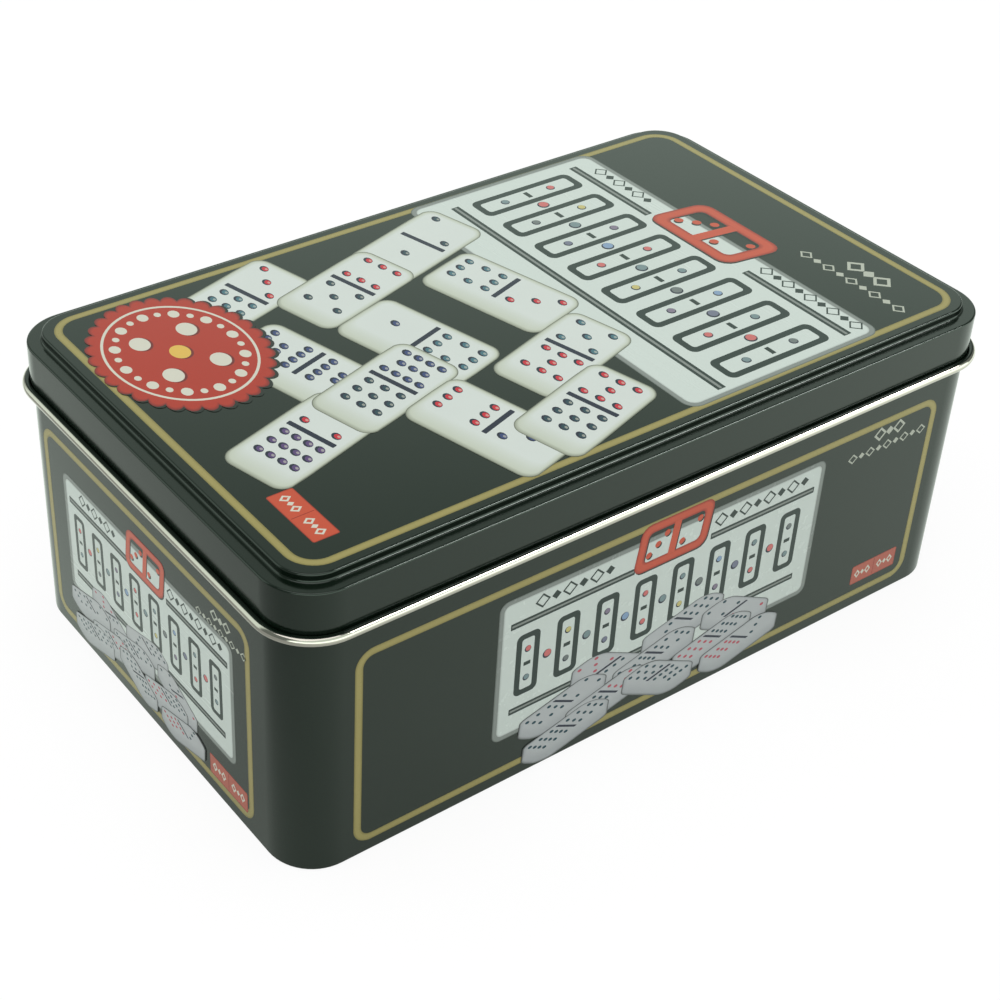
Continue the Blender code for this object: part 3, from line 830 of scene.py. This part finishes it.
def side_print(side, foot, half, plate_middle, frame_half, frame_middle, marks_at, tag_at, tall):
    """Print of a side wall: gold line, plate with a row of outlined tiles and a red one across its
    upper rim, a heap of pale tiles across its lower rim, a tag, and lozenges beside the plate."""
    frame_line(side, "tin", frame_middle, *frame_half, 3.6)
    a, b = plate_middle
    ha, hb = half
    plate(side, "tin", plate_middle, ha, hb, 2.4, [
        ((a - ha * 0.57, b + hb * 0.61), (ha * 0.36, 0.85)),
        ((a + ha * 0.60, b + hb * 0.61), (ha * 0.34, 0.85)),
        ((a - ha * 0.01, b - hb * 0.63), (ha * 0.90, 0.85))], side + "_plate")
    sheet = Print(side, "tin")
    upright_tiles(sheet, (a - ha * 0.01, b), ha * 0.232, 8, (ha * 0.135, hb * 0.87, ha * 0.032),
                  READING, ON_PLATE)
    for place, count in ((-0.56, 6), (0.59, 8)):
        small_lozenges(sheet, (a + place * ha, b + hb * 0.80), ha * 0.078, count,
                       (ha * 0.088, hb * 0.20, ha * 0.010), READING, ON_PLATE, DARK_TONE)
    small_lozenges(sheet, marks_at, tall * 0.72, 9, (tall * 0.8, tall * 0.7, tall * 0.1), READING,
                   ON_LACQUER, MARK_TONE)
    small_lozenges(sheet, (marks_at[0], marks_at[1] + tall), tall * 0.8, 3,
                   (tall * 1.05, tall, tall * 0.15), READING, ON_LACQUER, MARK_TONE)
    tag(sheet, tag_at, (7.6, 2.8), READING, OVER_LINE, DULL_RED)
    red_outline(sheet, (a + ha * 0.02, b + hb * 0.86), READING, (ha * 0.45, hb * 0.64), ha * 0.052)
    sheet.piece(side + "_marks", PRINTED)
    sheet = Print(side, "tin")
    heap(sheet, foot, (ha / 46.4, 0.3 + 0.7 * hb / 19.3), HEAP_TILES)
    sheet.piece(side + "_pictured_tiles", PRINTED)


lid()
body()
base_panel()
lid_print()
side_print("front", foot=(0, 10.9), half=(46.4, 19.3), plate_middle=(-0.1, 32.35),
           frame_half=(81.0, 25.3), frame_middle=(0.2, 29.46), marks_at=(66.5, 47.8),
           tag_at=(70.5, 10.1), tall=3.9)
side_print("left", foot=(-8.0, 10.4), half=(36.2, 16.5), plate_middle=(-1.75, 31.1),
           frame_half=(42.7, 25.3), frame_middle=(-2.6, 29.46), marks_at=(30.0, 48.2),
           tag_at=(31.0, 7.8), tall=3.0)
frame_line("back", "tin", (0.2, 29.46), 81.0, 25.3, 3.6)
frame_line("right", "tin", (2.6, 29.46), 42.7, 25.3, 3.6)


# Contents. One paint a value, from blank to twelve.
PAINTS = [(0, 0, 0), (84, 158, 206), (52, 134, 78), (196, 44, 40), (120, 78, 48), (38, 58, 132),
          (222, 186, 52), (214, 112, 146), (88, 176, 150), (112, 66, 132), (222, 118, 40),
          (52, 54, 58), (122, 126, 130)]


def carry_over(prefix, material):
    """Give the nodes that are kept as they are their finish."""
    for name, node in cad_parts.items():
        if name.startswith(prefix) and not node.hide_render:
            node.data.materials.clear()
            node.data.materials.append(material)


def pip_paint(name, node, values):
    """Paint in the pips of a top tile: in each a round pool that dips towards its middle, as
    0.012 - 0.22 (1 - (r / 0.95)^2) over the face, closed by a cone under it. One colour a value."""
    corners = np.array([node.matrix_world @ Vector(corner) for corner in node.bound_box])
    low, high = corners.min(axis=0) / MILLIMETRE, corners.max(axis=0) / MILLIMETRE
    middle, crossed = (low + high) / 2, high[0] - low[0] < high[1] - low[1]
    reach = np.array([0, 1.06, 1.08, 0.95, 0.8, 0.6, 0.35, 0])
    depth = np.array([-0.32, -0.10, 0.012, 0.012, -0.052, -0.12, -0.178, -0.208])
    sides, rims = 20, len(reach) - 2
    i = np.arange(sides)
    after, angle = (i + 1) % sides, i * 2 * math.pi / sides
    ring = np.stack([np.cos(angle), np.sin(angle)], axis=1)
    points, faces, tones, count = [], [], [], 0
    for sign, value in zip((-1, 1), values):
        for line, step in pip_places(value):
            spot = np.array([sign * TILE_LENGTH / 4 + line * PIP_PITCH, step * PIP_PITCH])
            spot = middle[:2] + (np.array([-spot[1], spot[0]]) if crossed else spot)
            pool = np.empty((len(reach), sides, 3))
            pool[..., :2] = spot + reach[:, None, None] * ring
            pool[..., 2] = high[2] + depth[:, None]
            points += [pool[0, :1], pool[1:-1].reshape(-1, 3), pool[-1, :1]]
            first = count + 1
            tip = first + rims * sides
            faces += np.column_stack([np.full(sides, count), first + after, first + i]).tolist()
            faces += grid_faces(rims, sides, False, True, first).tolist()
            last = tip - sides
            faces += np.column_stack([last + i, last + after, np.full(sides, tip)]).tolist()
            tones.append(np.tile(ink(*PAINTS[value]), (tip + 1 - count, 1)))
            count = tip + 1
    return made_piece(name, np.vstack(points), faces, [PAINT], "tin",
                      colours=np.vstack(tones))


carry_over("pile_", IVORY)
for number in range(HIGHEST_VALUE + 1):
    label = "pile_%02d_top" % (number + 1)
    pip_paint(label + "_paint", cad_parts[label + "_domino"],
              (number, (5 * number + 3) % (HIGHEST_VALUE + 1)))
carry_over("tray", TRAY_PLASTIC)
carry_over("rules_leaflet", PAPER)


# Studio
WHITE_LIGHT = grey(1)


def surround(scene):
    """Even white surround. What the tin mirrors of it is greener, and its strength differs: it is
    brightest low down in front and dark to both sides of the tin, and behind the tin it fades
    from the left to the middle and, on the right, upwards."""
    even, dark = 0.78, 0.25
    world = bpy.data.worlds.new("studio")
    scene.world = world
    world.use_nodes = True
    tree = world.node_tree
    background = tree.nodes["Background"]
    light = Socket(tree, None)
    camera_ray = light.node("LightPath")
    mirror_ray = camera_ray.other("Is Glossy Ray")
    seen = camera_ray.maths("MAXIMUM", camera_ray.other("Is Transmission Ray"))
    x = light.node("SeparateXYZ", {}, {0: light.node("TexCoord")})
    y, z = x.other(1), x.other(2)
    left = 1.30 - 0.95 * x.between(-0.5, -0.05)
    right = 1.27 - 0.72 * z.between(0.40, 0.68)
    back = left + x.between(-0.1, 0.3) * (right - left)
    front = 2.6 - 1.5 * z.between(0.30, 0.50)
    mirrored = front + y.between(-0.44, -0.32) * (dark - front)
    mirrored = mirrored + y.between(0.36, 0.50) * (back - dark)
    strength = even + seen * (1 - even) + mirror_ray * (mirrored - even)
    tint = mirror_ray.mix(WHITE_LIGHT, (0.86, 1.0, 0.90, 1))
    tree.links.new(tint.socket, background.inputs["Color"])
    tree.links.new(strength.socket, background.inputs["Strength"])


def paper_floor(scene):
    """Pale floor that keeps the tin's shadow and glows a little, so that it reads as white. What
    the tin mirrors of it grows towards the right, in front of the tin and beside it."""
    glow = 1.04
    made = Finish("floor_paper", Roughness=0.9, Base_Color=(0.86, 0.86, 0.86, 1),
                  Specular_IOR_Level=0.1)
    camera_ray = made.any.node("LightPath")
    mirror_ray = camera_ray.other("Is Glossy Ray")
    x = made.any.node("SeparateXYZ", {}, {0: made.place})
    y = x.other(1)
    front = (0.63 + x * 2.2 - y * 2.5).maths("MINIMUM", 2.2)
    beside = (2.10 + x * 12.0 + y * 3.0).maths("MINIMUM", 1.35)
    mirrored = (front + y.between(-0.04, 0.03) * (beside - front)).maths("MAXIMUM", 0.35)
    light = made.any.node("Emission", {}, {
        "Color": mirror_ray.mix(WHITE_LIGHT, (0.88, 1.0, 0.89, 1)),
        "Strength": glow + mirror_ray * (mirrored - glow)})
    paper = Socket(made.any.tree, made.shader.outputs[0])
    mixed = made.any.node("MixShader", {}, {
        0: camera_ray * 0.86 + mirror_ray * 0.75, 1: paper, 2: light})
    output = made.any.tree.nodes["Material Output"]
    made.any.tree.links.new(mixed.socket, output.inputs["Surface"])

    size = 3.0
    mesh = bpy.data.meshes.new("floor")
    mesh.from_pydata([(-size, -size, 0), (size, -size, 0), (size, size, 0), (-size, size, 0)],
                     [], [(0, 1, 2, 3)])
    mesh.materials.append(made.material)
    floor = bpy.data.objects.new("floor", mesh)
    scene.collection.objects.link(floor)


def lamps(scene):
    """A soft box overhead, and a strip in front and to the right that only gives highlights."""
    for name, place, size, power, shine, spread in (
            ("overhead_box", (-0.25, -0.15, 1.3), (1.2, 0.9), 5.0, 0.2, True),
            ("front_strip", (1.375, -1.047, 1.817), (0.94, 0.40), 29.0, 1.0, False)):
        lamp = bpy.data.lights.new(name, "AREA")
        lamp.shape, lamp.energy, lamp.specular_factor = "RECTANGLE", power, shine
        lamp.size, lamp.size_y = size
        holder = bpy.data.objects.new(name, lamp)
        scene.collection.objects.link(holder)
        towards = Vector(place).normalized()
        upwards = towards.cross((1, 0, 0)).normalized()
        facing = Matrix((upwards.cross(towards), upwards, towards)).transposed().to_4x4()
        holder.matrix_world = Matrix.Translation(place) @ facing
        holder.visible_diffuse, holder.visible_camera = spread, False


def camera(scene):
    """Camera of the photograph: it looks from the front left, 35 degrees down, rolled by 2 degrees.
    Its place is in the units of the camera fit, sideways, upwards and backwards in its own axes."""
    azimuth, elevation, roll = -0.6496921, 0.6158074, 0.038447
    sideways, upwards, backwards, unit = -16.8382, 31.0170, 507.7029, 0.000955
    raised = (0, 0, 0.6 * MILLIMETRE)
    back = np.array([math.sin(azimuth) * math.cos(elevation),
                     -math.cos(azimuth) * math.cos(elevation), math.sin(elevation)])
    right = np.array([math.cos(azimuth), math.sin(azimuth), 0.0])
    up = np.cross(back, right)
    c, s = math.cos(roll), math.sin(roll)
    across, above = c * right + s * up, -s * right + c * up
    place = (sideways * across + upwards * above + backwards * back) * unit + raised
    data = bpy.data.cameras.new("camera")
    data.sensor_width, data.lens = 36, 70.674
    data.shift_x, data.shift_y = 0.068, -0.046
    data.clip_start, data.clip_end = 0.01, 20
    seen = bpy.data.objects.new("camera", data)
    scene.collection.objects.link(seen)
    matrix = np.eye(4)
    matrix[:3] = np.column_stack([across, above, back, place])
    seen.matrix_world = Matrix(matrix.tolist())
    scene.camera = seen


stage = bpy.context.scene
surround(stage)
paper_floor(stage)
lamps(stage)
camera(stage)
stage.view_settings.view_transform = "Standard"
